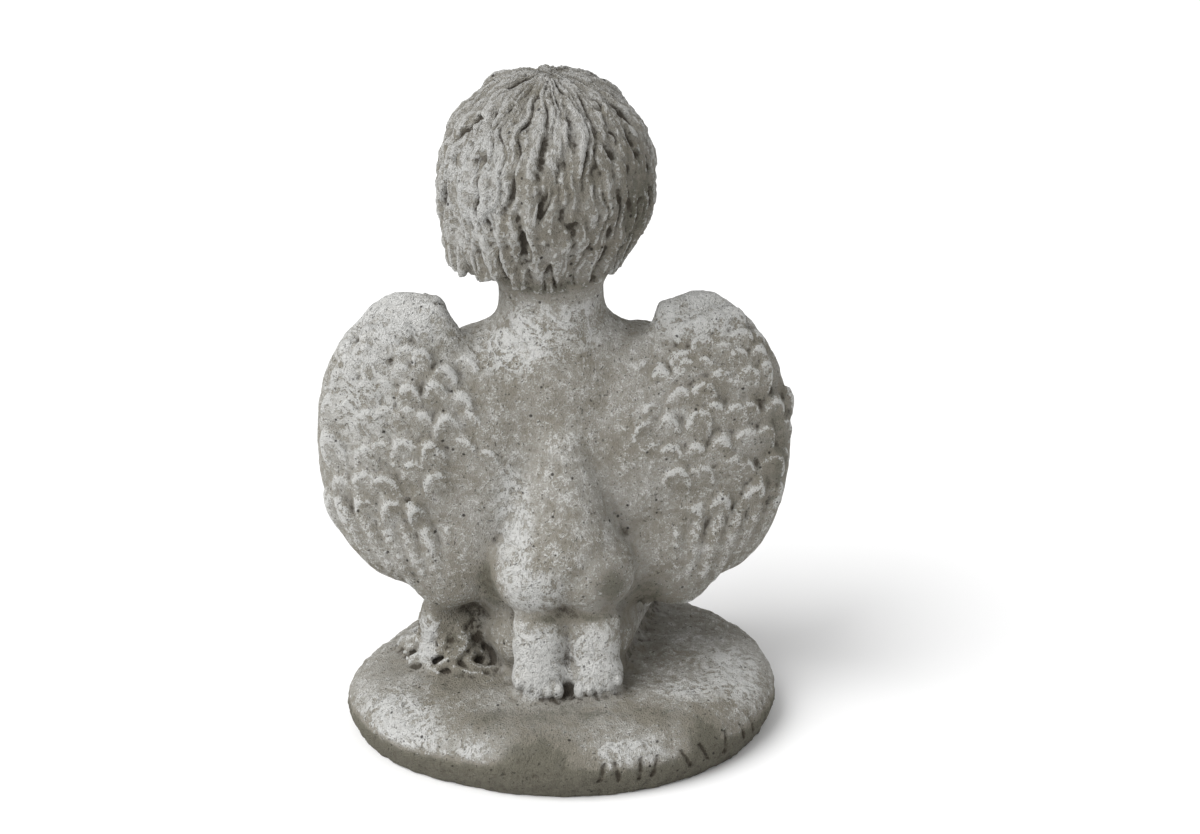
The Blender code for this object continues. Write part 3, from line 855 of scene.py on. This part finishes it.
class Paint:
    """A material, and one way to add each of its nodes."""

    def __init__(self, name):
        self.material = bpy.data.materials.new(name)
        self.material.use_nodes = True
        self.tree = self.material.node_tree
        self.shader = self.tree.nodes["Principled BSDF"]

    def node(self, kind, settings, inputs, output=0):
        made = self.tree.nodes.new("ShaderNode" + kind)
        for name, value in settings.items():
            setattr(made, name, value)
        for name, value in inputs.items():
            self.feed(made.inputs[name], value)
        return Value(self, made.outputs[output])

    def feed(self, socket, value):
        if isinstance(value, Value):
            self.tree.links.new(value.socket, socket)
        else:
            socket.default_value = value

    def place(self):
        """Object coordinates, in steps."""
        metres = self.node("TexCoord", {}, {}, "Object")
        return self.scaled(metres, 1 / STEP)

    def scaled(self, vector, scale):
        return self.node("VectorMath", {"operation": "SCALE"}, {0: vector, "Scale": scale})

    def note(self, name, output="Fac"):
        """A value that the mesh holds at each of its points."""
        return self.node("Attribute", {"attribute_name": name}, {}, output)

    def cloud(self, place, size, detail=3.0, rough=0.55, warp=0.0):
        inputs = {"Vector": place, "Scale": 1 / size, "Detail": detail, "Roughness": rough, "Distortion": warp}
        return self.node("TexNoise", {}, inputs)

    def mix(self, share, first, second):
        return self.node("Mix", {"data_type": "RGBA"}, {0: share, 6: first, 7: second}, 2)


def pinholes(paint, place, spacing, reach):
    """1 in small round air holes, scattered about this far apart."""
    cell = paint.node("TexVoronoi", {}, {"Vector": place, "Scale": 1 / spacing}, "Distance")
    pick = paint.node("TexVoronoi", {}, {"Vector": place, "Scale": 1 / spacing}, "Color")
    size = paint.node("SeparateColor", {}, {0: pick}, 0)
    return 1 - (cell + (1 - size.above(0.55, 1.0)) * reach).above(reach * 0.5, reach)


def concrete():
    """Weathered grey concrete: pale and warm cement, then moss, salts, soil and air holes over it. The soil and
    moss colours also paint shade, and the salt colour also paints highlights.
    """
    paint = Paint("weathered_concrete")
    place = paint.place()
    groove = paint.note("groove")
    ridge = paint.note("ridge")
    # How sheltered each point is, used below for painted shade.
    hidden = paint.note("shelter")
    hair = paint.note("hair")
    # Stains and salt marks, with the painted shade and painted highlight marks among them.
    stain_and_light = paint.note("stain_and_light")
    broad = paint.cloud(place, 22, 3)
    mottle = paint.cloud(place, 5, 5, 0.62, 0.4)
    blotch = paint.cloud(place, 1.8, 5, 0.75)
    grain = paint.cloud(place, 0.45, 2, 0.6)
    # Random pale and warm tones; the stain term leans painted shade marks warm and painted highlight marks pale.
    stone = paint.mix((0.4 * broad + 0.4 * mottle + 0.3 * blotch - 0.15 * stain_and_light).above(0.44, 0.64), WARM, PALE)
    # Moss where the stains run high, so the painted shade marks also darken with moss colour.
    moss_and_shade = (stain_and_light + 1.3 * mottle + 1.2 * blotch - 1.25).above(0.2, 0.6)
    stone = paint.mix(0.7 * moss_and_shade, stone, MOSS_AND_SHADE)
    # Fewer salts where the casting is sheltered, which keeps those places darker as painted shade.
    salt_and_highlight = 0.75 * ridge + 1.5 * blotch + 0.6 * mottle + 0.9 * grain + 0.3 * broad - 0.5 * hidden - 0.1 * hair
    # More salts where the stains run low, so the painted highlight marks turn pale with salt colour.
    salt_and_highlight = (salt_and_highlight - 0.6 * stain_and_light).above(1.7, 2.05)
    stone = paint.mix((0.85 - 0.2 * hair) * salt_and_highlight, stone, SALT_AND_HIGHLIGHT)
    vein = 1 - 9 * abs(paint.cloud(place, 6, 5, 0.65, 0.6) - 0.5)
    # Salt crust where the stains run low: the painted highlight marks get it and the painted shade marks lose it.
    crust = (vein + 1.4 * blotch - 0.7).above(0.4, 0.65) * (0.1 - stain_and_light).above(0.05, 0.35)
    stone = paint.mix(0.85 * crust, stone, SALT_AND_HIGHLIGHT)
    # Soil in grooves and stains, with painted shade where the casting is sheltered and at the painted shade marks
    # of the stain table.
    soil_and_shade = 0.9 * groove + 0.7 * hidden + 0.7 * blotch + 0.3 * mottle + 0.4 * grain + 0.4 * stain_and_light - 0.16 * hair
    stone = paint.mix(0.9 * soil_and_shade.above(0.9, 1.6), stone, SOIL_AND_SHADE)
    pits = (paint.cloud(place, 0.8, 1, 0.5) - 0.05 * hair).above(0.66, 0.73)
    stone = paint.mix(0.55 * pits, stone, PINHOLE)
    holes = pinholes(paint, place, 2.6, 0.22)
    stone = paint.mix(0.85 * holes, stone, PINHOLE)
    paint.feed(paint.shader.inputs["Base Color"], stone)
    paint.feed(paint.shader.inputs["Roughness"], 0.93 - 0.08 * salt_and_highlight)
    paint.shader.inputs["Specular IOR Level"].default_value = 0.25
    strands = paint.cloud(paint.note("strand", "Vector"), 0.8, 2)
    height = (0.7 + 0.5 * hair) * grain + 1.3 * blotch - 0.8 * holes - 0.4 * pits
    height = height + 0.7 * hair * strands + 0.3 * crust
    bump = paint.node("Bump", {}, {"Height": height, "Distance": 1.1 * STEP, "Strength": 1.0})
    paint.feed(paint.shader.inputs["Normal"], bump)
    return paint.material


def statue():
    """The finished casting, as one piece."""
    skin = cast()
    roughen(skin)
    weather(skin)
    bmesh.ops.triangulate(skin, faces=skin.faces[:])
    skin = modified(skin, [("DECIMATE", {"ratio": min(1.0, SKIN_TRIANGLES / len(skin.faces))})])
    cut_flat(skin)
    centred(skin)
    mark_stain_and_light(skin)
    shelter(skin)
    mesh = bpy.data.meshes.new("praying_angel")
    skin.to_mesh(mesh)
    skin.free()
    mesh.shade_smooth()
    mesh.materials.append(concrete())
    piece = bpy.data.objects.new("praying_angel", mesh)
    bpy.context.scene.collection.objects.link(piece)
    return piece


def floor():
    """A plain pale floor."""
    paint = Paint("studio_floor")
    paint.shader.inputs["Base Color"].default_value = FLOOR_SHADE
    paint.shader.inputs["Roughness"].default_value = 0.8
    sheet = bmesh.new()
    below = Matrix.Translation((0, 0, -FLOOR_GAP))
    bmesh.ops.create_grid(sheet, x_segments=1, y_segments=1, size=FLOOR_REACH, matrix=below)
    mesh = bpy.data.meshes.new("studio_floor")
    sheet.to_mesh(mesh)
    sheet.free()
    mesh.materials.append(paint.material)
    ground = bpy.data.objects.new("studio_floor", mesh)
    bpy.context.scene.collection.objects.link(ground)


def lights():
    """A plain bright sky, and a soft sun from the left and above, behind the statue."""
    world = bpy.data.worlds.new("studio")
    world.use_nodes = True
    backdrop = world.node_tree.nodes["Background"]
    backdrop.inputs["Color"].default_value = (1, 1, 1, 1)
    backdrop.inputs["Strength"].default_value = SKY_STRENGTH
    bpy.context.scene.world = world
    lamp = bpy.data.lights.new("key", "SUN")
    lamp.energy = KEY_STRENGTH
    lamp.angle = math.radians(KEY_SPREAD)
    key = bpy.data.objects.new("key", lamp)
    key.rotation_euler = (-KEY_FROM).to_track_quat("-Z", "Y").to_euler()
    bpy.context.scene.collection.objects.link(key)


def camera():
    """The camera, behind the statue and a little above it."""
    turn, rise = math.radians(CAMERA_AZIMUTH), math.radians(CAMERA_RISE)
    back = Vector((math.sin(turn) * math.cos(rise), -math.cos(turn) * math.cos(rise), math.sin(rise)))
    lens = bpy.data.cameras.new("camera")
    lens.lens = CAMERA_LENS
    lens.shift_x = FRAME_SHIFT[0] / FRAME_WIDTH
    lens.shift_y = FRAME_SHIFT[1] / FRAME_WIDTH
    viewer = bpy.data.objects.new("camera", lens)
    viewer.location = CAMERA_AIM + CAMERA_DISTANCE * back
    viewer.rotation_euler = (-back).to_track_quat("-Z", "Y").to_euler()
    bpy.context.scene.collection.objects.link(viewer)
    bpy.context.scene.camera = viewer
    bpy.context.scene.view_settings.view_transform = "Standard"


camera()
floor()
lights()
angel = statue()
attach(angel, "root")
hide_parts("angel_statue")
